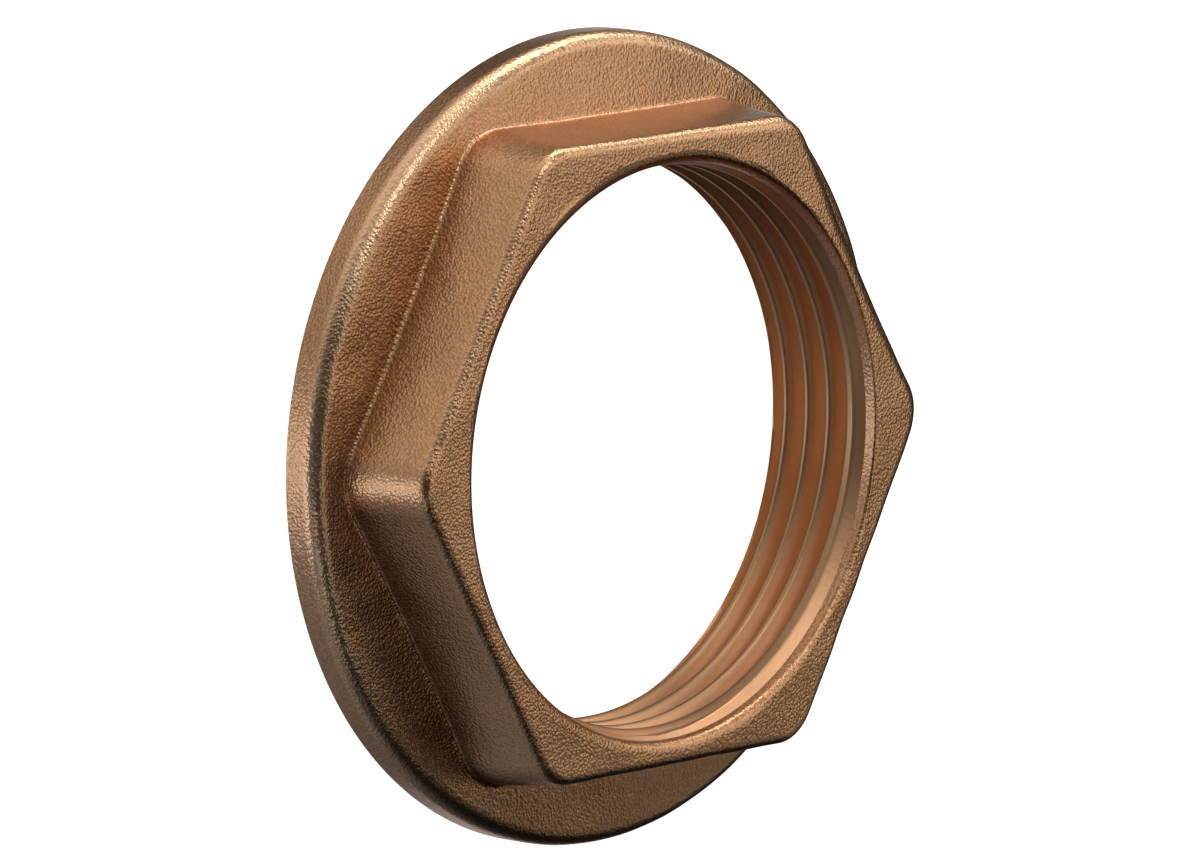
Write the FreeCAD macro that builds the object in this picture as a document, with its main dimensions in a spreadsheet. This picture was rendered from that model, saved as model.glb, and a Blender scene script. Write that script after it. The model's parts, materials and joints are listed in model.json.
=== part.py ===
import FreeCAD, Part
import math
import os
import Sketcher

# A cast bronze flange nut for a pipe thread, such as clamps a skin fitting to a hull.
# It is one casting: a round flange with a shallow cone on its front, a low drafted
# hexagon on that, and a bore that is tapped after casting. The nut lies on its seat:
# Z is the thread's axis, z = 0 the seat, and two corners of the hexagon lie on X.

# Driving dimensions in millimetres and degrees.
SIZES = {
    # Parallel pipe thread of 1 1/2 inch: its bore, 11 turns to the inch.
    "thread_minor_diameter": 44.845,
    # Round flange: a short upright rim, a rounded lip and a conical front face.
    "flange_diameter": 65.0,
    "face_height": 4.05,
    "face_inner_diameter": 49.0,
    "face_slope": 5.5,
    "lip_radius": 1.4,
    # Drafted hexagon, measured across flats at its front face.
    "nut_height": 11.4,
    "hex_flats": 50.3,
    "hex_draft": 6.5,
    "corner_radius": 4.0,
    "front_edge_radius": 0.85,
    "foot_radius": 0.35,
    # Bore: in front a short wider mouth with a broken edge and a conical lead-in, behind a chamfer.
    "mouth_diameter": 46.4,
    "mouth_depth": 1.05,
    "mouth_break": 0.15,
    "lead_in_angle": 90.0,
    "bore_chamfer": 1.0,
}

HEX_SIDES = 6
NODE = "flange_nut"
TOLERANCE = 0.05
UP = FreeCAD.Vector(0, 0, 1)

doc = FreeCAD.newDocument("flange_nut_document")


def make_sheet():
    """The driving dimensions, one row each: name, value and alias."""
    sheet = doc.addObject("Spreadsheet::Sheet", "sizes")
    for row, (name, value) in enumerate(SIZES.items(), start=1):
        sheet.set(f"A{row}", name)
        sheet.set(f"B{row}", str(value))
        sheet.setAlias(f"B{row}", name)
    doc.recompute()
    return sheet


def origin_plane(body, role):
    """The body's own origin plane with this role."""
    return next(plane for plane in body.Origin.OriginFeatures if plane.Role == role)


def add_sketch(body, name, role):
    """An empty sketch on one of the body's origin planes."""
    sketch = body.newObject("Sketcher::SketchObject", name)
    sketch.AttachmentSupport = [(origin_plane(body, role), "")]
    sketch.MapMode = "FlatFace"
    return sketch


def bind(sketch, constraint, name, expression):
    """Adds a driving constraint, names it and ties it to the sheet."""
    index = sketch.addConstraint(constraint)
    sketch.renameConstraint(index, name)
    sketch.setExpression(f"Constraints.{name}", expression)


def edges_where(feature, wanted):
    """Names of the feature's edges for which wanted(edge) is true."""
    edges = enumerate(feature.Shape.Edges, start=1)
    return [f"Edge{number}" for number, edge in edges if wanted(edge)]


def add_dressing(body, kind, name, base, edge_names, size, expression):
    """A fillet or chamfer on named edges, with its size tied to the sheet."""
    if not edge_names:
        raise RuntimeError(f"{name} found no edges")
    feature = body.newObject(f"PartDesign::{kind}", name)
    feature.Base = (base, edge_names)
    feature.setExpression(size, expression)
    body.Tip = feature
    doc.recompute()
    return feature


def is_circle(edge, radius, height):
    """True for a full circle of this radius about the axis at this height."""
    curve = edge.Curve
    return (
        isinstance(curve, Part.Circle)
        and abs(curve.Radius - radius) < TOLERANCE
        and abs(curve.Center.z - height) < TOLERANCE
    )


def hexagon_boss(body):
    """The hexagon from the seat to the front: its outline with round corners, padded and drafted."""
    sketch = add_sketch(body, "hexagon_outline", "XY_Plane")
    apothem = SIZES["hex_flats"] / 2
    corner = SIZES["corner_radius"]
    turn = 2 * math.pi / HEX_SIDES
    half_side = (apothem - corner) * math.tan(turn / 2)
    centre_reach = (apothem - corner) / math.cos(turn / 2)
    sides = range(HEX_SIDES)
    for i in sides:
        normal = FreeCAD.Vector(math.cos((i + 0.5) * turn), math.sin((i + 0.5) * turn), 0)
        middle, along = normal * apothem, UP.cross(normal) * half_side
        sketch.addGeometry(Part.LineSegment(middle - along, middle + along), False)
    for i in sides:
        after = (i + 1) * turn
        centre = FreeCAD.Vector(centre_reach * math.cos(after), centre_reach * math.sin(after), 0)
        circle = Part.Circle(centre, UP, corner)
        sketch.addGeometry(Part.ArcOfCircle(circle, after - turn / 2, after + turn / 2), False)
    inscribed = sketch.addGeometry(Part.Circle(FreeCAD.Vector(), UP, apothem), True)
    first_arc, top_side = HEX_SIDES, 1
    sketch.addConstraint(Sketcher.Constraint("Coincident", inscribed, 3, -1, 1))
    for i in sides:
        sketch.addConstraint(Sketcher.Constraint("Tangent", i, 2, first_arc + i, 1))
        sketch.addConstraint(Sketcher.Constraint("Tangent", first_arc + i, 2, (i + 1) % HEX_SIDES, 1))
        sketch.addConstraint(Sketcher.Constraint("Tangent", i, inscribed))
    for i in sides[1:]:
        sketch.addConstraint(Sketcher.Constraint("Equal", first_arc, first_arc + i))
    for i in range(HEX_SIDES // 2):
        sketch.addConstraint(Sketcher.Constraint("Parallel", i, i + HEX_SIDES // 2))
    sketch.addConstraint(Sketcher.Constraint("Horizontal", top_side))
    for i in (top_side - 1, top_side + 1):
        lean = math.pi + (i - top_side) * turn
        sketch.addConstraint(Sketcher.Constraint("Angle", i, math.remainder(lean, 2 * math.pi)))
    bind(sketch, Sketcher.Constraint("Diameter", inscribed, 2 * apothem), "flats", "sizes.hex_flats")
    bind(sketch, Sketcher.Constraint("Radius", first_arc, corner), "corner", "sizes.corner_radius")
    prism = body.newObject("PartDesign::Pad", "hexagon_prism")
    prism.Profile = sketch
    prism.setExpression("Length", "sizes.nut_height")
    doc.recompute()
    faces = list(enumerate(prism.Shape.Faces, start=1))
    front = SIZES["nut_height"]
    walls = [f"Face{n}" for n, face in faces if face.BoundBox.ZLength > front - TOLERANCE]
    front_face = next(f"Face{n}" for n, face in faces if face.BoundBox.ZMin > front - TOLERANCE)
    drafted = body.newObject("PartDesign::Draft", "hexagon_draft")
    drafted.Base = (prism, walls)
    drafted.NeutralPlane = (prism, [front_face])
    drafted.setExpression("Angle", "sizes.hex_draft")
    body.Tip = drafted
    doc.recompute()
    if drafted.Shape.Volume < prism.Shape.Volume:
        raise RuntimeError("the draft narrows the hexagon towards its foot")


def flange(body):
    """The flange as a revolved half section: seat, rim, lip arc, cone and a flat under the hexagon."""
    sketch = add_sketch(body, "flange_section", "YZ_Plane")
    outer = SIZES["flange_diameter"] / 2
    inner = SIZES["face_inner_diameter"] / 2
    top = SIZES["face_height"]
    lip = SIZES["lip_radius"]
    slope = math.radians(SIZES["face_slope"])
    lip_end_radius = outer - lip + lip * math.sin(slope)
    lip_end_height = top - (lip_end_radius - inner) * math.tan(slope)
    lip_centre = FreeCAD.Vector(outer - lip, lip_end_height - lip * math.cos(slope), 0)
    axis_foot = FreeCAD.Vector()
    rim_foot = FreeCAD.Vector(outer, 0, 0)
    rim_top = FreeCAD.Vector(outer, lip_centre.y, 0)
    lip_end = FreeCAD.Vector(lip_end_radius, lip_end_height, 0)
    cone_end = FreeCAD.Vector(inner, top, 0)
    axis_top = FreeCAD.Vector(0, top, 0)
    lip_circle = Part.Circle(lip_centre, UP, lip)
    outline = [
        Part.LineSegment(axis_foot, rim_foot),
        Part.LineSegment(rim_foot, rim_top),
        Part.ArcOfCircle(lip_circle, 0, math.pi / 2 - slope),
        Part.LineSegment(lip_end, cone_end),
        Part.LineSegment(cone_end, axis_top),
        Part.LineSegment(axis_top, axis_foot),
    ]
    sketch.addGeometry(outline, False)
    seat, rim, lip_arc, cone, under_hex, axis_side = range(len(outline))
    for before, after in ((seat, rim), (cone, under_hex), (under_hex, axis_side), (axis_side, seat)):
        sketch.addConstraint(Sketcher.Constraint("Coincident", before, 2, after, 1))
    sketch.addConstraint(Sketcher.Constraint("Tangent", rim, 2, lip_arc, 1))
    sketch.addConstraint(Sketcher.Constraint("Tangent", lip_arc, 2, cone, 1))
    sketch.addConstraint(Sketcher.Constraint("Coincident", seat, 1, -1, 1))
    for level in (seat, under_hex):
        sketch.addConstraint(Sketcher.Constraint("Horizontal", level))
    for upright in (rim, axis_side):
        sketch.addConstraint(Sketcher.Constraint("Vertical", upright))
    bind(sketch, Sketcher.Constraint("DistanceX", seat, 1, seat, 2, outer),
         "flange_radius", "sizes.flange_diameter / 2")
    bind(sketch, Sketcher.Constraint("DistanceX", under_hex, 2, under_hex, 1, inner),
         "face_inner_radius", "sizes.face_inner_diameter / 2")
    bind(sketch, Sketcher.Constraint("DistanceY", axis_side, 2, axis_side, 1, top),
         "face_height", "sizes.face_height")
    bind(sketch, Sketcher.Constraint("Radius", lip_arc, lip), "lip_radius", "sizes.lip_radius")
    bind(sketch, Sketcher.Constraint("Angle", cone, math.pi - slope),
         "face_slope", "(180 - sizes.face_slope) * 1 deg")
    disc = body.newObject("PartDesign::Revolution", "flange")
    disc.Profile = sketch
    disc.ReferenceAxis = (sketch, ["V_Axis"])
    disc.Angle = 360.0
    body.Tip = disc
    doc.recompute()
    return disc


def round_edges(body, casting):
    """Rounds the casting's sharp edges: the hexagon's front edge and its foot on the flange."""
    front = SIZES["nut_height"]

    def is_front_edge(edge):
        return edge.BoundBox.ZMin > front - TOLERANCE

    front_edge = add_dressing(body, "Fillet", "front_edge", casting,
                              edges_where(casting, is_front_edge),
                              "Radius", "sizes.front_edge_radius")
    lip_reach = SIZES["flange_diameter"] / 2 - SIZES["lip_radius"]

    def is_foot_edge(edge):
        box, start = edge.BoundBox, edge.Vertexes[0].Point
        in_face = TOLERANCE < box.ZMin and box.ZMax < SIZES["face_height"]
        inside_lip = math.hypot(start.x, start.y) < lip_reach
        return in_face and inside_lip and not isinstance(edge.Curve, Part.Line)

    return add_dressing(body, "Fillet", "hexagon_foot", front_edge,
                        edges_where(front_edge, is_foot_edge),
                        "Radius", "sizes.foot_radius")


def bore(body, casting):
    """The tapping bore through the nut, with a wider mouth, a lead-in cone and a broken front edge."""
    sketch = add_sketch(body, "bore_centre", "XY_Plane")
    sketch.setExpression(".AttachmentOffset.Base.z", "sizes.nut_height")
    drill = SIZES["thread_minor_diameter"]
    circle = sketch.addGeometry(Part.Circle(FreeCAD.Vector(), UP, drill / 2), False)
    sketch.addConstraint(Sketcher.Constraint("Coincident", circle, 3, -1, 1))
    bind(sketch, Sketcher.Constraint("Diameter", circle, drill),
         "drill", "sizes.thread_minor_diameter")
    doc.recompute()
    hole = body.newObject("PartDesign::Hole", "thread_bore")
    hole.Profile = sketch
    doc.recompute()
    hole.ThreadType = "None"
    hole.setExpression("Diameter", "sizes.thread_minor_diameter")
    hole.DepthType = "ThroughAll"
    hole.HoleCutType = "Counterdrill"
    hole.HoleCutCustomValues = True
    hole.setExpression("HoleCutDiameter", "sizes.mouth_diameter")
    hole.setExpression("HoleCutDepth", "sizes.mouth_depth")
    hole.setExpression("HoleCutCountersinkAngle", "sizes.lead_in_angle")
    doc.recompute()
    if hole.Shape.Volume > casting.Shape.Volume - TOLERANCE:
        raise RuntimeError("the bore cut nothing")
    mouth = SIZES["mouth_diameter"] / 2
    front = SIZES["nut_height"]
    return add_dressing(body, "Chamfer", "mouth_break", hole,
                        edges_where(hole, lambda edge: is_circle(edge, mouth, front)),
                        "Size", "sizes.mouth_break")


def chamfer_bore(body, bored):
    """Chamfers the bore's edge at the turned seat."""
    drill = SIZES["thread_minor_diameter"] / 2
    return add_dressing(body, "Chamfer", "bore_chamfer", bored,
                        edges_where(bored, lambda edge: is_circle(edge, drill, 0)),
                        "Size", "sizes.bore_chamfer")


def build_nut():
    """The whole nut as one body."""
    body = doc.addObject("PartDesign::Body", NODE)
    body.Label = NODE
    hexagon_boss(body)
    casting = round_edges(body, flange(body))
    chamfer_bore(body, bore(body, casting))
    return body


def check_document(body):
    """Stops the script if any object failed or the nut isn't one sound solid."""
    for item in doc.Objects:
        if "Invalid" in item.State or "Error" in item.State:
            raise RuntimeError(f"{item.Name} is {item.State}")
    shape = body.Shape
    if shape.isNull() or not shape.isValid() or len(shape.Solids) != 1:
        raise RuntimeError(f"{body.Label} isn't one valid solid")


make_sheet()
nut = build_nut()
check_document(nut)
os.makedirs("parts", exist_ok=True)
nut.Shape.exportStep(f"parts/{nut.Label}.step")
box = nut.Shape.optimalBoundingBox(False)
print(f"{nut.Label}: {box.XLength:.2f} x {box.YLength:.2f} x {box.ZLength:.2f} mm, "
      f"{nut.Shape.Volume / 1000:.2f} cm3, {len(nut.Shape.Faces)} faces")
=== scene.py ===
import json
import math

import bpy
import numpy as np
from mathutils import Matrix, Vector


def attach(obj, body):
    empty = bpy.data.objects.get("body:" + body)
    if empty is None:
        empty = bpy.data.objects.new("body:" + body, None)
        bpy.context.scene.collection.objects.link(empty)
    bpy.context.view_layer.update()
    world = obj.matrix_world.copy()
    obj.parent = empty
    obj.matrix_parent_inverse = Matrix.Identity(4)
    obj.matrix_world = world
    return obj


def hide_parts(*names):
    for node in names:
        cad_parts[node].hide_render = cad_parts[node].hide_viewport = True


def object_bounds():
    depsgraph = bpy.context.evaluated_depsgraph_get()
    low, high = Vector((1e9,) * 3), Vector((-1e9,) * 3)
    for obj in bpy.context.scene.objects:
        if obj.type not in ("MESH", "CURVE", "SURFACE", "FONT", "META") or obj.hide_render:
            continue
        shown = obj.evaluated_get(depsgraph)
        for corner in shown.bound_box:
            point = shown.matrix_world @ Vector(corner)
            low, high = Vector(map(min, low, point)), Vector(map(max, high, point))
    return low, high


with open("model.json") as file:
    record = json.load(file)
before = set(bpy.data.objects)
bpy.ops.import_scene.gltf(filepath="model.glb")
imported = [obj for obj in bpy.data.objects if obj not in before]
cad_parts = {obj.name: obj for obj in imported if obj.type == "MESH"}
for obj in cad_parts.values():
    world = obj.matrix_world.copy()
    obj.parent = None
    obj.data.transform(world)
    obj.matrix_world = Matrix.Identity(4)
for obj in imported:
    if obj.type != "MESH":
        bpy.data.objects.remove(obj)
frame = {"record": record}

# A cast bronze flange nut with a pipe thread, lying on its seat: Z is the thread's axis, z = 0 the
# seat, and two corners of the hexagon lie on X. Sizes are in millimetres unless a heading says metres.
MM = 0.001
INCH = 25.4
FULL_TURN = 2 * math.pi
cad_low, cad_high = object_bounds()
thread_mount = next(mount for mount in frame["record"]["mounts"] if mount["name"] == "thread")

# Flange: an upright rim, a rounded lip and a shallow cone that rises to the hexagon.
FLANGE_RADIUS = cad_high.x / MM
CONE_INNER_RADIUS = 24.5
CONE_INNER_HEIGHT = 4.05
CONE_SLOPE = math.radians(5.5)
LIP_RADIUS = 1.4
LIP_END_RADIUS = FLANGE_RADIUS - LIP_RADIUS * (1 - math.sin(CONE_SLOPE))
LIP_END_HEIGHT = CONE_INNER_HEIGHT - (LIP_END_RADIUS - CONE_INNER_RADIUS) * math.tan(CONE_SLOPE)
RIM_HEIGHT = LIP_END_HEIGHT - LIP_RADIUS * math.cos(CONE_SLOPE)
SEAT_EDGE_BREAK = 0.2

# Hexagon: drafted sides, round corners and a rounded front edge, which is rounder along one side.
# Sizes are at its front face.
NUT_HEIGHT = cad_high.z / MM
HEX_SIDES = 6
HALF_SECTOR = math.pi / HEX_SIDES
HEX_APOTHEM = 25.15
HEX_DRAFT = math.radians(6.5)
CORNER_RADIUS = 4.0
FRONT_EDGE_RADIUS = 0.85
ROUNDER_SIDE_GROWTH = 1.0
ROUNDER_SIDE_TURN = math.radians(30)
ROUNDER_SIDE_FOCUS = 12
FOOT_REACH = 0.3
FOOT_STEPS = 12

# Bore: a right-hand pipe thread, its depth and round root in the usual shares of its pitch, a chamfer
# at the seat, and in front a lead-in cone and a short cast mouth. The mouth's edge is broken; one side
# of it flares, and another is rounded over.
CREST_RADIUS = thread_mount["dims"]["r_mm"]
TURNS_PER_INCH = 11
PITCH = INCH / TURNS_PER_INCH
CREST_HEIGHT = 2.2
THREAD_DEPTH = 0.6403 * PITCH
ROOT_ROUNDING = 0.1373 * PITCH
CREST_EASING = 0.10
FLANK_LEAN = math.radians(27.5)
RUN_OUT_END = math.radians(2 * 360 + 320)
RUN_OUT_LENGTH = math.radians(140)
MOUTH_RADIUS = 23.2
MOUTH_DEPTH = 1.05
MOUTH_FLOOR = NUT_HEIGHT - MOUTH_DEPTH
MOUTH_BREAK = 0.15
MOUTH_FLARE = 0.85
MOUTH_FLARE_TURN = math.radians(-95)
MOUTH_FLARE_FOCUS = 3
MOUTH_ROUNDING = 1.45
MOUTH_ROUNDING_TURN = math.radians(130)
MOUTH_ROUNDING_FOCUS = 2
SEAT_CHAMFER = 1.0

# Cast unevenness of the blasted faces: long shallow waves.
UNEVEN_DEPTH = 0.018
UNEVEN_WAVES = (2.6, 9.0)
UNEVEN_COUNT = 40
UNEVEN_SEED = 7

# Grid: columns around the axis, closer together at the corners, and rows along the nut's section.
# An edge that turns by more than the crisp angle isn't smoothed over.
SECTOR_COLUMNS = 66
CORNER_CROWDING = 0.6
CRISP_ANGLE = math.radians(40)

# Finishes, in the order of the nut's material slots.
BLASTED, TAPPED, TURNED = range(3)


def outline_radius(turn, apothem):
    """Polar radius of the hexagon with round corners whose flats stand this far from the axis.

    A flat gives apothem / cos(angle from its middle). Past the tangent point the corner's circle gives
    c cos(b) + sqrt(R^2 - c^2 sin^2(b)), with c the reach of its centre and b the angle from the corner.
    R grows and shrinks with the apothem, so that all outlines are parallel to each other.
    """
    corner = CORNER_RADIUS + apothem - HEX_APOTHEM
    straight = apothem - corner
    from_flat = np.abs(np.mod(turn, 2 * HALF_SECTOR) - HALF_SECTOR)
    from_corner = HALF_SECTOR - from_flat
    reach = straight / math.cos(HALF_SECTOR)
    flat = apothem / np.cos(from_flat)
    across = np.maximum(corner ** 2 - (reach * np.sin(from_corner)) ** 2, 0)
    arc = reach * np.cos(from_corner) + np.sqrt(across)
    tangent = np.arctan2(straight * math.tan(HALF_SECTOR), apothem)
    return np.where(from_flat <= tangent, flat, arc)


def drafted_apothem(height):
    """Distance of the hexagon's flats from the axis: it grows by the draft's tangent towards the foot."""
    return HEX_APOTHEM + (NUT_HEIGHT - height) * math.tan(HEX_DRAFT)


def cone_height(radius):
    """Height of the flange's cone: it falls by the slope's tangent away from the axis."""
    return CONE_INNER_HEIGHT - (radius - CONE_INNER_RADIUS) * math.tan(CONE_SLOPE)


def one_sided(turn, middle, focus):
    """Share of a feature that only one side has: a raised cosine about that side's middle, to a power."""
    return ((1 + np.cos(turn - middle)) / 2) ** focus


def parabola(along, start, control, end):
    """A curve from start to end, tangent there to the lines to its control point.

    It weighs the three by (1 - t)^2, 2 t (1 - t) and t^2.
    """
    return (1 - along) ** 2 * start + 2 * along * (1 - along) * control + along ** 2 * end


def groove_depth(from_root):
    """Depth of the thread's groove at this distance along the axis from its root.

    The root is a circle, and straight flanks leave it at the profile's angle. They end at a flat crest,
    where half of x + sqrt(x^2 + e^2) eases the corner.
    """
    tangent = ROOT_ROUNDING * math.cos(FLANK_LEAN)
    circle = np.sqrt(np.maximum(ROOT_ROUNDING ** 2 - from_root ** 2, 0)) - ROOT_ROUNDING
    flank = -ROOT_ROUNDING * (1 - math.sin(FLANK_LEAN)) - (from_root - tangent) / math.tan(FLANK_LEAN)
    depth = THREAD_DEPTH + np.where(from_root < tangent, circle, flank)
    return (depth + np.sqrt(depth ** 2 + CREST_EASING ** 2)) / 2


def thread_radius(height, turn):
    """Radius of the threaded wall: a profile of flat crests and round roots carried along a helix.

    The helix is counted in turns, height / pitch - angle / full turn, with a crest at each whole number
    and a root halfway. Near the mouth the groove grows shallower along its length, as a smooth step,
    until it has run out.
    """
    helix = (height - CREST_HEIGHT) / PITCH - turn / FULL_TURN
    groove = np.floor(helix)
    from_root = np.abs(helix - groove - 0.5) * PITCH
    left = np.clip((RUN_OUT_END - groove * FULL_TURN - turn) / RUN_OUT_LENGTH, 0, 1)
    return CREST_RADIUS + groove_depth(from_root) * left ** 2 * (3 - 2 * left)


def rounded_over(stepped, height, turn):
    """Radius of the mouth: its stepped form, which on one side blends into a rounded one.

    The rounded form is a quarter circle from the bore's wall out to the front face.
    """
    above = np.clip(height - NUT_HEIGHT + MOUTH_ROUNDING, 0, MOUTH_ROUNDING)
    circle = CREST_RADIUS + MOUTH_ROUNDING - np.sqrt(MOUTH_ROUNDING ** 2 - above ** 2)
    return stepped + one_sided(turn, MOUTH_ROUNDING_TURN, MOUTH_ROUNDING_FOCUS) * (circle - stepped)


def bore_wall(along, turn):
    """From the seat up to the mouth: the widest of the thread, the seat's chamfer and the lead-in.

    Chamfer and lead-in are cones at 45 degrees; the lead-in is rounded over with the mouth.
    """
    height = along * MOUTH_FLOOR
    chamfer = CREST_RADIUS + SEAT_CHAMFER - height
    cone = np.maximum(MOUTH_RADIUS - MOUTH_FLOOR + height, CREST_RADIUS)
    lead_in = rounded_over(cone, height, turn)
    return np.maximum(np.maximum(thread_radius(height, turn), chamfer), lead_in), height


def mouth_reach(turn):
    """Reach of the mouth's edge, down and outwards: an even break, and on one side a flare."""
    return MOUTH_BREAK + MOUTH_FLARE * one_sided(turn, MOUTH_FLARE_TURN, MOUTH_FLARE_FOCUS)


def mouth_wall(along, turn):
    """The mouth's upright wall, from the lead-in cone up to the broken edge."""
    height = MOUTH_FLOOR + along * (MOUTH_DEPTH - mouth_reach(turn))
    return rounded_over(MOUTH_RADIUS, height, turn), height


def mouth_edge(along, turn):
    """The mouth's broken edge: a parabola from the upright wall to the front face, tangent to both."""
    reach = mouth_reach(turn)
    radius = parabola(along, MOUTH_RADIUS, MOUTH_RADIUS, MOUTH_RADIUS + reach)
    height = parabola(along, NUT_HEIGHT - reach, NUT_HEIGHT, NUT_HEIGHT)
    return rounded_over(radius, height, turn), height


def front_edge_radius(turn):
    """Radius of the front edge's rounding, which grows along the rounder side."""
    return FRONT_EDGE_RADIUS + ROUNDER_SIDE_GROWTH * one_sided(turn, ROUNDER_SIDE_TURN, ROUNDER_SIDE_FOCUS)


def front_edge_centre(turn):
    """Apothem and height of the centre of the front edge's rounding, tangent to the face and the side."""
    rounding = front_edge_radius(turn)
    height = NUT_HEIGHT - rounding
    return drafted_apothem(height) - rounding / math.cos(HEX_DRAFT), height


def front_face(along, turn):
    """The flat front, straight outwards from the mouth to where the front edge's rounding starts."""
    inner = mouth_edge(np.ones((1, 1)), turn)[0]
    outer = outline_radius(turn, front_edge_centre(turn)[0])
    return inner + along * (outer - inner), NUT_HEIGHT


def front_edge(along, turn):
    """The rounding from the front face to the drafted side: outlines that widen along a circle's arc."""
    apothem, height = front_edge_centre(turn)
    rounding = front_edge_radius(turn)
    angle = along * (math.pi / 2 - HEX_DRAFT)
    rounded = outline_radius(turn, apothem + rounding * np.sin(angle))
    return rounded, height + rounding * np.cos(angle)


def foot_line(turn):
    """Radius and height where the drafted side meets the cone, found by stepping between the two."""
    height = CONE_INNER_HEIGHT
    for _ in range(FOOT_STEPS):
        radius = outline_radius(turn, drafted_apothem(height))
        height = cone_height(radius)
    return radius, height


def hexagon_side(along, turn):
    """The drafted side: from the front edge straight down to just above the foot line."""
    top = front_edge_centre(turn)[1] + front_edge_radius(turn) * math.sin(HEX_DRAFT)
    height = top + along * (foot_line(turn)[1] + FOOT_REACH - top)
    return outline_radius(turn, drafted_apothem(height)), height


def hexagon_foot(along, turn):
    """The hollow at the foot: a parabola between side and cone, with the foot line as its control point."""
    foot_radius, foot_height = foot_line(turn)
    side_height = foot_height + FOOT_REACH
    side_radius = outline_radius(turn, drafted_apothem(side_height))
    cone_radius = foot_radius + FOOT_REACH
    height = parabola(along, side_height, foot_height, cone_height(cone_radius))
    return parabola(along, side_radius, foot_radius, cone_radius), height


def flange_cone(along, turn):
    """The flange's face: from the foot's hollow straight out to the lip."""
    inner = foot_line(turn)[0] + FOOT_REACH
    radius = inner + along * (LIP_END_RADIUS - inner)
    return radius, cone_height(radius)


def flange_lip(along, turn):
    """The lip: a circle's arc from the cone round to the upright rim."""
    angle = (1 - along) * (math.pi / 2 - CONE_SLOPE)
    radius = FLANGE_RADIUS - LIP_RADIUS * (1 - np.cos(angle))
    return radius, RIM_HEIGHT + LIP_RADIUS * np.sin(angle)


def flange_rim(along, turn):
    """The upright rim, straight down to the broken edge at the seat."""
    return FLANGE_RADIUS, RIM_HEIGHT + along * (SEAT_EDGE_BREAK - RIM_HEIGHT)


def seat_edge(along, turn):
    """The broken edge between rim and seat, at 45 degrees."""
    return FLANGE_RADIUS - along * SEAT_EDGE_BREAK, (1 - along) * SEAT_EDGE_BREAK


def turned_seat(along, turn):
    """The flat seat, straight inwards to the bore's edge."""
    outer = FLANGE_RADIUS - SEAT_EDGE_BREAK
    inner = bore_wall(np.zeros((1, 1)), turn)[0]
    return outer + along * (inner - outer), 0


# The nut's section in order, from the seat up the bore, over the front and back down to the seat: shape,
# rows of the grid, finish, share of the cast unevenness, and its pale middle: wear and a painted highlight.
SECTION = (
    (bore_wall, 126, TAPPED, 0, 0),
    (mouth_wall, 8, BLASTED, 0, 0),
    (mouth_edge, 9, BLASTED, 0, 0),
    (front_face, 15, BLASTED, 1, 0),
    (front_edge, 10, BLASTED, 1, 0.25),
    (hexagon_side, 26, BLASTED, 1, 0),
    (hexagon_foot, 6, BLASTED, 1, 0),
    (flange_cone, 15, BLASTED, 1, 0),
    (flange_lip, 12, BLASTED, 1, 0.7),
    (flange_rim, 7, BLASTED, 0.5, 0),
    (seat_edge, 2, TURNED, 0, 0),
    (turned_seat, 12, TURNED, 0, 0),
)


def column_turns():
    """Angles of the grid's columns.

    From a corner to the next flat's middle they follow w t + (1 - w) t^3, with w for the crowding.
    """
    step = np.arange(SECTOR_COLUMNS) / SECTOR_COLUMNS * 2 - 1
    from_corner = 1 - np.abs(step)
    spread = CORNER_CROWDING * from_corner + (1 - CORNER_CROWDING) * from_corner ** 3
    sector = np.where(step < 0, spread, 2 - spread) * HALF_SECTOR
    corners = np.arange(HEX_SIDES)[:, None] * 2 * HALF_SECTOR
    return (corners + sector).reshape(1, -1)


def grid_normals(points):
    """Unit normals of a grid that closes both ways: the cross product of its central differences."""
    along = np.roll(points, -1, axis=0) - np.roll(points, 1, axis=0)
    around = np.roll(points, -1, axis=1) - np.roll(points, 1, axis=1)
    normals = np.cross(along, around)
    return normals / np.linalg.norm(normals, axis=2, keepdims=True)


def cast_unevenness(points):
    """Shallow waves of a casting: a sum of sine waves with seeded directions, lengths and phases.

    It is divided by the root of half their count, which makes its usual height one.
    """
    rng = np.random.default_rng(UNEVEN_SEED)
    directions = rng.normal(size=(3, UNEVEN_COUNT))
    directions /= np.linalg.norm(directions, axis=0)
    lengths = rng.uniform(*UNEVEN_WAVES, UNEVEN_COUNT)
    phases = rng.uniform(0, FULL_TURN, UNEVEN_COUNT)
    waves = np.sin(points @ (directions * FULL_TURN / lengths) + phases)
    return waves.sum(axis=2) / math.sqrt(UNEVEN_COUNT / 2)


def nut_surface():
    """The nut as one grid of points that closes both ways, with the finish, wear and painted highlight of
    each row.

    A point is (r cos t, r sin t, z), moved along the surface's normal by the cast waves. Wear and painted
    highlight rise and fall along the shape as half a sine wave.
    """
    turn = column_turns()
    radii, heights, finishes, shares, wear_and_highlight_rows = [], [], [], [], []
    for shape, rows, finish, share, wear_and_highlight in SECTION:
        along = np.arange(rows)[:, None] / rows
        radius, height = shape(along, turn)
        size = (rows, turn.size)
        radii.append(np.broadcast_to(radius, size))
        heights.append(np.broadcast_to(height, size))
        finishes.append(np.full(rows, finish))
        shares.append(np.full(rows, float(share)))
        wear_and_highlight_rows.append(wear_and_highlight * np.sin(along[:, 0] * math.pi))
    radius, height = np.concatenate(radii), np.concatenate(heights)
    points = np.stack([radius * np.cos(turn), radius * np.sin(turn), height], axis=2)
    share = np.concatenate(shares)[:, None, None]
    wave = cast_unevenness(points)[:, :, None]
    points = points + grid_normals(points) * wave * share * UNEVEN_DEPTH
    return points, np.concatenate(finishes), np.concatenate(wear_and_highlight_rows)


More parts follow.
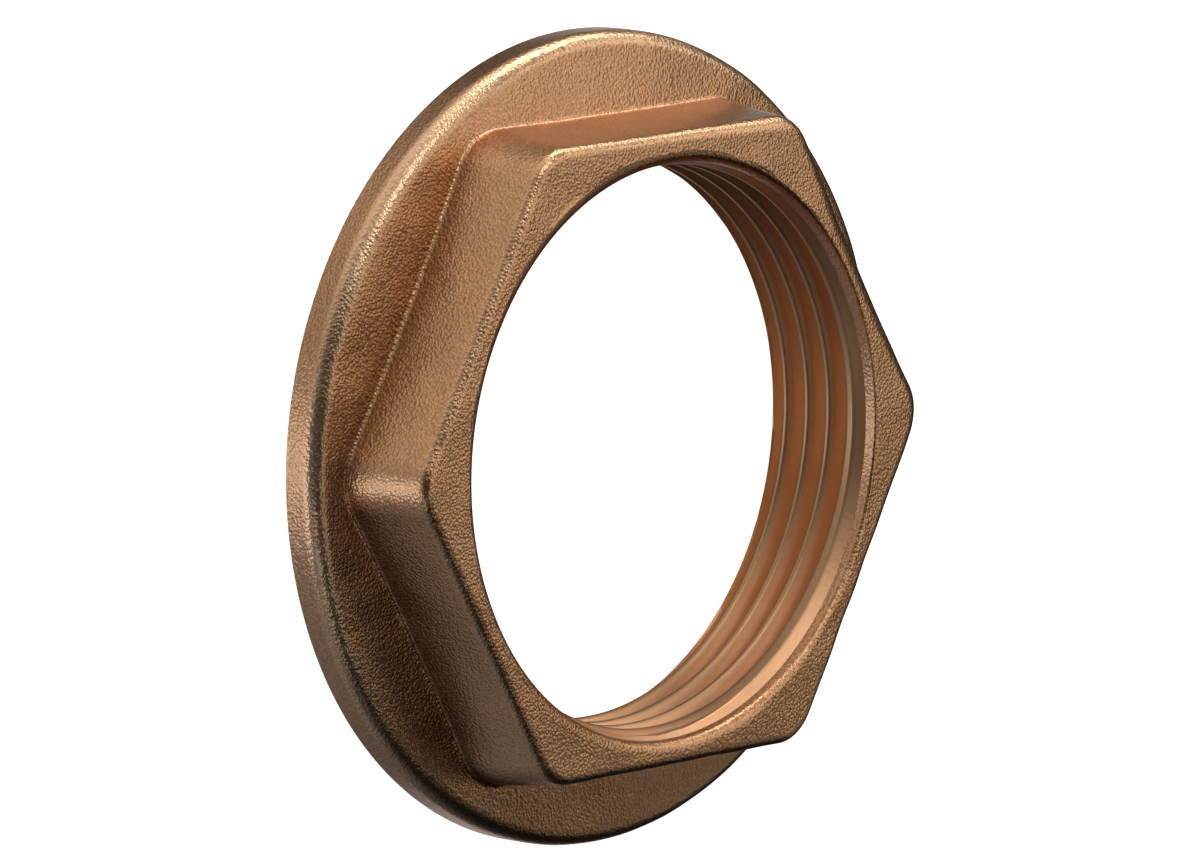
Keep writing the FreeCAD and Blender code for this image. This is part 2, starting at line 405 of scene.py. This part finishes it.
def grid_mesh(name, points, finishes, wear_and_highlight_rows):
    """A mesh of the quads between neighbouring rows and columns of a grid that closes both ways.

    Each row's wear and painted highlight becomes a vertex attribute for the materials.
    """
    rows, columns = points.shape[:2]
    row, column = np.meshgrid(np.arange(rows), np.arange(columns), indexing="ij")
    next_row, next_column = (row + 1) % rows, (column + 1) % columns
    corners = [(row, column), (next_row, column), (next_row, next_column), (row, next_column)]
    quads = np.stack([i * columns + j for i, j in corners], axis=2).reshape(-1, 4)
    mesh = bpy.data.meshes.new(name)
    mesh.from_pydata(points.reshape(-1, 3) * MM, [], quads)
    mesh.polygons.foreach_set("material_index", np.repeat(finishes, columns).astype(np.int32))
    # Each row's pale share, wear together with a painted highlight, for the materials.
    worn_highlight = mesh.attributes.new("wear_and_highlight", "FLOAT", "POINT")
    worn_highlight.data.foreach_set("value", np.repeat(wear_and_highlight_rows, columns).astype(np.float32))
    mesh.shade_smooth()
    mesh.set_sharp_from_angle(angle=CRISP_ANGLE)
    return mesh


# Blasted bronze: round marks of the grit over the grains of the mould's sand, and patches of patina.
GRIT_MARK = 0.24
GRIT_SOFTNESS = 0.3
SAND_GRAIN = 0.5
SAND_SHARE = 0.3
GRIT_HOLLOW, GRIT_TOP = 0.66, 0.24
GRIT_DEPTH = 0.05
PATINA_PATCH = 7
PATINA_START, PATINA_FULL = 0.35, 0.7
PATINA_SHARE = 0.35
# The pale bronze on the lip and front edge is partly wear and partly a painted highlight.
WORN_HIGHLIGHT_SHARE = 0.6
HOLLOW_BROWN = "#B0845F"
BLASTED_BRONZE = "#D59F70"
PATINA_BROWN = "#B08C6C"
WORN_HIGHLIGHT_BRONZE = "#EBCBA4"

# Tapped bronze: chatter of the tap, patches of stain, painted shade on the crests that ends just inside
# the groove, and painted light in the grooves.
CHATTER_MARK = 0.4
CHATTER_DEPTH = 0.03
STAIN_PATCH = 4
STAIN_SHARE = 0.3
CREST_END, GROOVE_START = 0.05, 0.25
# Painted shade on the crests and painted light in the grooves.
CREST_PAINTED_SHADE_BRONZE = "#BA9069"
GROOVE_PAINTED_LIGHT_BRONZE = "#DDAB80"
STAIN_BROWN = "#8E6846"

# Turned bronze: rings left by the lathe's feed, and smears. A wave pattern repeats every tenth of pi.
RING_SPACING = 0.3
RING_DEPTH = 0.01
RING_WANDER = 0.4
WAVE_REPEAT = math.pi / 10
SMEAR_PATCH = 5
TURNED_BRONZE = "#D2A277"
SMEARED_BRONZE = "#BE8D64"

# White paper under the nut, a little cloudy.
PAPER_CLOUD = 30
PAPER_WHITE = "#F6F6F5"
CLOUD_WHITE = "#F9F9F8"

# A mix has its inputs and result once for each kind of value. Across the axis a place has X and Y.
NUMBER_A, NUMBER_B, COLOUR_A, COLOUR_B = 2, 3, 6, 7
MIXED_NUMBER, MIXED_COLOUR = 0, 2
ACROSS_AXIS = (1, 1, 0)


def linear(hex_colour):
    """An sRGB hex colour as linear RGBA: a straight line near black, and a power of 2.4 above it."""
    channels = np.array([int(hex_colour[i:i + 2], 16) for i in (1, 3, 5)]) / 255
    low, high = channels / 12.92, ((channels + 0.055) / 1.055) ** 2.4
    return (*np.where(channels <= 0.04045, low, high), 1.0)


def add_node(tree, kind, settings=None, links=None):
    """Adds a node, sets its properties or input values, and links its inputs from other sockets."""
    made = tree.nodes.new(kind)
    for name, value in (settings or {}).items():
        if isinstance(name, str) and hasattr(made, name):
            setattr(made, name, value)
        else:
            made.inputs[name].default_value = value
    for name, socket in (links or {}).items():
        tree.links.new(socket, made.inputs[name])
    return made


def new_material(name):
    """An empty node material, its nodes, and the object's coordinates."""
    material = bpy.data.materials.new(name)
    material.use_nodes = True
    tree = material.node_tree
    tree.nodes.clear()
    return material, tree, add_node(tree, "ShaderNodeTexCoord").outputs["Object"]


def finish_bronze(tree, colour, relief, bump, roughness):
    """Ends a bronze's nodes: bare metal of this colour and roughness, with its relief as fine bumps."""
    bumps = add_node(tree, "ShaderNodeBump", bump, {"Height": relief})
    metal = add_node(tree, "ShaderNodeBsdfPrincipled", {"Metallic": 1.0, "Roughness": roughness},
                     {"Base Color": colour, "Normal": bumps.outputs["Normal"]})
    add_node(tree, "ShaderNodeOutputMaterial", links={"Surface": metal.outputs[0]})


def blasted_cast_bronze():
    """Gunmetal cast in sand and grit blasted: a dull, even sparkle of small bumps, brown in the hollows.

    The rounded edges are painted paler: partly wear, partly a painted highlight where they catch the light.
    """
    material, tree, place = new_material("blasted_cast_bronze")
    grit = add_node(tree, "ShaderNodeTexVoronoi",
                    {"feature": "SMOOTH_F1", "Scale": 1 / (GRIT_MARK * MM), "Smoothness": GRIT_SOFTNESS},
                    {"Vector": place})
    sand = add_node(tree, "ShaderNodeTexNoise",
                    {"Scale": 1 / (SAND_GRAIN * MM), "Detail": 2}, {"Vector": place})
    relief = add_node(tree, "ShaderNodeMix", {"data_type": "FLOAT", "Factor": SAND_SHARE},
                      {NUMBER_A: grit.outputs["Distance"], NUMBER_B: sand.outputs["Fac"]})
    raised = add_node(tree, "ShaderNodeMapRange", {"From Min": GRIT_HOLLOW, "From Max": GRIT_TOP},
                      {"Value": relief.outputs[MIXED_NUMBER]})
    tone = add_node(tree, "ShaderNodeMix",
                    {"data_type": "RGBA", COLOUR_A: linear(HOLLOW_BROWN), COLOUR_B: linear(BLASTED_BRONZE)},
                    {"Factor": raised.outputs[0]})
    patina = add_node(tree, "ShaderNodeTexNoise",
                      {"Scale": 1 / (PATINA_PATCH * MM), "Detail": 3}, {"Vector": place})
    aged = add_node(tree, "ShaderNodeMapRange",
                    {"From Min": PATINA_START, "From Max": PATINA_FULL, "To Max": PATINA_SHARE},
                    {"Value": patina.outputs["Fac"]})
    dulled = add_node(tree, "ShaderNodeMix", {"data_type": "RGBA", COLOUR_B: linear(PATINA_BROWN)},
                      {"Factor": aged.outputs[0], COLOUR_A: tone.outputs[MIXED_COLOUR]})
    # Pale paint on the lip and front edge: partly wear, partly a painted highlight.
    wear_and_highlight = add_node(tree, "ShaderNodeAttribute", {"attribute_name": "wear_and_highlight"})
    rubbed_highlight = add_node(tree, "ShaderNodeMath", {"operation": "MULTIPLY", 1: WORN_HIGHLIGHT_SHARE},
                      {0: wear_and_highlight.outputs["Fac"]})
    colour = add_node(tree, "ShaderNodeMix", {"data_type": "RGBA", COLOUR_B: linear(WORN_HIGHLIGHT_BRONZE)},
                      {"Factor": rubbed_highlight.outputs[0], COLOUR_A: dulled.outputs[MIXED_COLOUR]})
    bump = {"invert": True, "Strength": 1.0, "Distance": GRIT_DEPTH * MM}
    finish_bronze(tree, colour.outputs[MIXED_COLOUR], relief.outputs[MIXED_NUMBER], bump, roughness=0.33)
    return material


def tapped_bronze():
    """Gunmetal cut by a tap: painted light makes the grooves reddish bright, and painted shade dulls the
    crests.
    """
    material, tree, place = new_material("tapped_bronze")
    across = add_node(tree, "ShaderNodeVectorMath", {"operation": "MULTIPLY", 1: ACROSS_AXIS}, {0: place})
    radius = add_node(tree, "ShaderNodeVectorMath", {"operation": "LENGTH"}, {0: across.outputs[0]})
    # Painted shade on the crests and painted light in the grooves, mixed by the distance from the axis.
    groove_painted_light = add_node(tree, "ShaderNodeMapRange",
                       {"From Min": (CREST_RADIUS + CREST_END) * MM,
                        "From Max": (CREST_RADIUS + GROOVE_START) * MM},
                       {"Value": radius.outputs["Value"]})
    crest_shade_groove_light = add_node(tree, "ShaderNodeMix",
                   {"data_type": "RGBA", COLOUR_A: linear(CREST_PAINTED_SHADE_BRONZE), COLOUR_B: linear(GROOVE_PAINTED_LIGHT_BRONZE)},
                   {"Factor": groove_painted_light.outputs[0]})
    stain = add_node(tree, "ShaderNodeTexNoise",
                     {"Scale": 1 / (STAIN_PATCH * MM), "Detail": 3}, {"Vector": place})
    stained = add_node(tree, "ShaderNodeMath", {"operation": "MULTIPLY", 1: STAIN_SHARE},
                       {0: stain.outputs["Fac"]})
    colour = add_node(tree, "ShaderNodeMix", {"data_type": "RGBA", COLOUR_B: linear(STAIN_BROWN)},
                      {"Factor": stained.outputs[0], COLOUR_A: crest_shade_groove_light.outputs[MIXED_COLOUR]})
    chatter = add_node(tree, "ShaderNodeTexNoise",
                       {"Scale": 1 / (CHATTER_MARK * MM), "Detail": 2}, {"Vector": place})
    bump = {"Strength": 0.5, "Distance": CHATTER_DEPTH * MM}
    finish_bronze(tree, colour.outputs[MIXED_COLOUR], chatter.outputs["Fac"], bump, roughness=0.45)
    return material


def turned_bronze():
    """Gunmetal faced on a lathe: brighter than the casting, with fine rings about the axis."""
    material, tree, place = new_material("turned_bronze")
    across = add_node(tree, "ShaderNodeVectorMath", {"operation": "MULTIPLY", 1: ACROSS_AXIS}, {0: place})
    rings = add_node(tree, "ShaderNodeTexWave",
                     {"wave_type": "RINGS", "rings_direction": "SPHERICAL",
                      "Scale": WAVE_REPEAT / (RING_SPACING * MM), "Distortion": RING_WANDER},
                     {"Vector": across.outputs[0]})
    smear = add_node(tree, "ShaderNodeTexNoise",
                     {"Scale": 1 / (SMEAR_PATCH * MM), "Detail": 3}, {"Vector": place})
    colour = add_node(tree, "ShaderNodeMix",
                      {"data_type": "RGBA",
                       COLOUR_A: linear(TURNED_BRONZE), COLOUR_B: linear(SMEARED_BRONZE)},
                      {"Factor": smear.outputs["Fac"]})
    bump = {"Strength": 0.5, "Distance": RING_DEPTH * MM}
    finish_bronze(tree, colour.outputs[MIXED_COLOUR], rings.outputs["Fac"], bump, roughness=0.34)
    return material


def add_object(name, data):
    """A new object of the scene that carries this mesh, lamp or camera."""
    made = bpy.data.objects.new(name, data)
    bpy.context.scene.collection.objects.link(made)
    return made


def make_nut():
    """The nut in one piece: its closed surface, with the three finishes."""
    mesh = grid_mesh("bronze_flange_nut", *nut_surface())
    for material in (blasted_cast_bronze(), tapped_bronze(), turned_bronze()):
        mesh.materials.append(material)
    nut = add_object("bronze_flange_nut", mesh)
    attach(nut, "root")
    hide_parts("flange_nut")


# Camera: a long lens at the photograph's angle, which sees the nut's axis level, so it is rolled. Angles
# are in degrees.
VIEW_AZIMUTH = 257.8
VIEW_ELEVATION = 42.82
VIEW_ROLL = 98.05
VIEW_TARGET = Vector((-2.86, 1.18, 5.7)) * MM
VIEW_DISTANCE = 1041.2 * MM
LENS = 396.0
SENSOR_WIDTH = 36.0


def bearing(azimuth, elevation):
    """Unit vector towards a point round the nut, from angles in degrees.

    Azimuth turns from -Y towards +X, and elevation rises from the floor.
    """
    azimuth, elevation = math.radians(azimuth), math.radians(elevation)
    level = math.cos(elevation)
    return Vector((math.sin(azimuth) * level, -math.cos(azimuth) * level, math.sin(elevation)))


def looking_back(towards):
    """The turn of a camera or lamp that stands along this bearing and looks back along it."""
    return (-towards).to_track_quat("-Z", "Y").to_matrix().to_4x4()


def make_camera():
    """The camera looks back along its bearing and is then rolled about its own axis."""
    camera = add_object("camera", bpy.data.cameras.new("camera"))
    camera.data.lens = LENS
    camera.data.sensor_width = SENSOR_WIDTH
    towards = bearing(VIEW_AZIMUTH, VIEW_ELEVATION)
    place = Matrix.Translation(VIEW_TARGET + towards * VIEW_DISTANCE)
    roll = Matrix.Rotation(math.radians(VIEW_ROLL), 4, "Z")
    camera.matrix_world = place @ looking_back(towards) @ roll
    bpy.context.scene.camera = camera


# Stage, in metres, degrees and watts.
FLOOR_SIZE = 12.0
FLOOR_GLOW = 1.08
WHITE_LIGHT = "#FFFFFF"
COOL_LIGHT = "#DDE8FF"
BOX_DISTANCE = 0.40
BOX_SIZE = 0.14
SOFT_BOXES = {
    "low_top": {"azimuth": 160, "elevation": 6, "power": 0.400, "colour": WHITE_LIGHT},
    "low_top_right": {"azimuth": 140, "elevation": 6, "power": 0.245, "colour": WHITE_LIGHT},
    "key": {"azimuth": 120, "elevation": 28, "power": 0.160, "colour": WHITE_LIGHT},
    "high_key": {"azimuth": 120, "elevation": 50, "power": 0.095, "colour": WHITE_LIGHT},
    "high_top": {"azimuth": 180, "elevation": 50, "power": 0.285, "colour": WHITE_LIGHT},
    "high_left": {"azimuth": 214, "elevation": 42, "power": 0.075, "colour": WHITE_LIGHT},
    "high_right": {"azimuth": 90, "elevation": 50, "power": 0.100, "colour": WHITE_LIGHT},
    "right": {"azimuth": 60, "elevation": 28, "power": 0.026, "colour": WHITE_LIGHT},
    "overhead": {"azimuth": 120, "elevation": 74, "power": 0.085, "colour": WHITE_LIGHT},
    "overhead_bottom": {"azimuth": 0, "elevation": 74, "power": 0.050, "colour": WHITE_LIGHT},
    "lower_left": {"azimuth": 300, "elevation": 28, "power": 0.060, "colour": WHITE_LIGHT},
    "left": {"azimuth": 280, "elevation": -18, "power": 0.200, "colour": COOL_LIGHT},
    "under_left": {"azimuth": 275, "elevation": -42, "power": 0.145, "colour": COOL_LIGHT},
    "under_right": {"azimuth": 105, "elevation": -42, "power": 0.045, "colour": WHITE_LIGHT},
    "under_bottom": {"azimuth": 45, "elevation": -40, "power": 0.040, "colour": WHITE_LIGHT},
}
SURROUND_FOCUS = 5.0
SURROUND_GLOWS = {
    "top": {"azimuth": 185, "elevation": -2, "strength": 1.05, "colour": WHITE_LIGHT},
    "upper_left": {"azimuth": 225, "elevation": -24, "strength": 0.76, "colour": WHITE_LIGHT},
    "lower_left": {"azimuth": 315, "elevation": -20, "strength": 0.40, "colour": COOL_LIGHT},
    "bottom": {"azimuth": 0, "elevation": -55, "strength": 0.20, "colour": COOL_LIGHT},
}


def white_paper():
    """Matt white paper on a light table: an even white that glows a little, with faint clouds."""
    material, tree, place = new_material("white_paper")
    cloud = add_node(tree, "ShaderNodeTexNoise",
                     {"Scale": 1 / (PAPER_CLOUD * MM), "Detail": 3}, {"Vector": place})
    colour = add_node(tree, "ShaderNodeMix",
                      {"data_type": "RGBA", COLOUR_A: linear(PAPER_WHITE), COLOUR_B: linear(CLOUD_WHITE)},
                      {"Factor": cloud.outputs["Fac"]})
    white = colour.outputs[MIXED_COLOUR]
    paper = add_node(tree, "ShaderNodeBsdfPrincipled",
                     {"Roughness": 0.9, "Specular IOR Level": 0.1, "Emission Strength": FLOOR_GLOW},
                     {"Base Color": white, "Emission Color": white})
    add_node(tree, "ShaderNodeOutputMaterial", links={"Surface": paper.outputs[0]})
    return material


def make_floor():
    """A wide white floor at the seat's height: a square about the axis.

    The photograph's ground is plain white and leaves no mark on the metal, so the metal doesn't mirror it.
    """
    half = FLOOR_SIZE / 2
    corners = np.array([(-half, -half, 0), (half, -half, 0), (half, half, 0), (-half, half, 0)])
    mesh = bpy.data.meshes.new("floor")
    mesh.from_pydata(corners, [], [(0, 1, 2, 3)])
    mesh.materials.append(white_paper())
    floor = add_object("floor", mesh)
    floor.visible_glossy = False
    floor.visible_shadow = False


def make_soft_boxes():
    """Square soft boxes close round the nut, each aimed at it."""
    for name, box in SOFT_BOXES.items():
        light = bpy.data.lights.new(name, "AREA")
        light.shape = "SQUARE"
        light.size = BOX_SIZE
        light.energy = box["power"]
        light.color = linear(box["colour"])[:3]
        towards = bearing(box["azimuth"], box["elevation"])
        lamp = add_object(name, light)
        lamp.matrix_world = Matrix.Translation(towards * BOX_DISTANCE) @ looking_back(towards)


def make_surround():
    """A dark studio lit by the sum of broad glows: each is the cosine from its middle, to a power."""
    world = bpy.data.worlds.new("studio")
    world.use_nodes = True
    tree = world.node_tree
    direction = add_node(tree, "ShaderNodeTexCoord").outputs["Generated"]
    light = None
    for glow in SURROUND_GLOWS.values():
        middle = bearing(glow["azimuth"], glow["elevation"])
        cosine = add_node(tree, "ShaderNodeVectorMath", {"operation": "DOT_PRODUCT", 1: middle},
                          {0: direction})
        ahead = add_node(tree, "ShaderNodeMath", {"operation": "MAXIMUM", 1: 0.0},
                         {0: cosine.outputs["Value"]})
        lobe = add_node(tree, "ShaderNodeMath", {"operation": "POWER", 1: SURROUND_FOCUS},
                        {0: ahead.outputs[0]})
        colour = Vector(linear(glow["colour"])[:3]) * glow["strength"]
        tinted = add_node(tree, "ShaderNodeVectorMath", {"operation": "SCALE", 0: colour},
                          {"Scale": lobe.outputs[0]})
        total = add_node(tree, "ShaderNodeVectorMath", {"operation": "ADD"}, {0: tinted.outputs[0]})
        if light is not None:
            tree.links.new(light, total.inputs[1])
        light = total.outputs[0]
    tree.links.new(light, tree.nodes["Background"].inputs["Color"])
    bpy.context.scene.world = world


make_nut()
make_floor()
make_soft_boxes()
make_surround()
make_camera()
bpy.context.scene.view_settings.view_transform = "Standard"
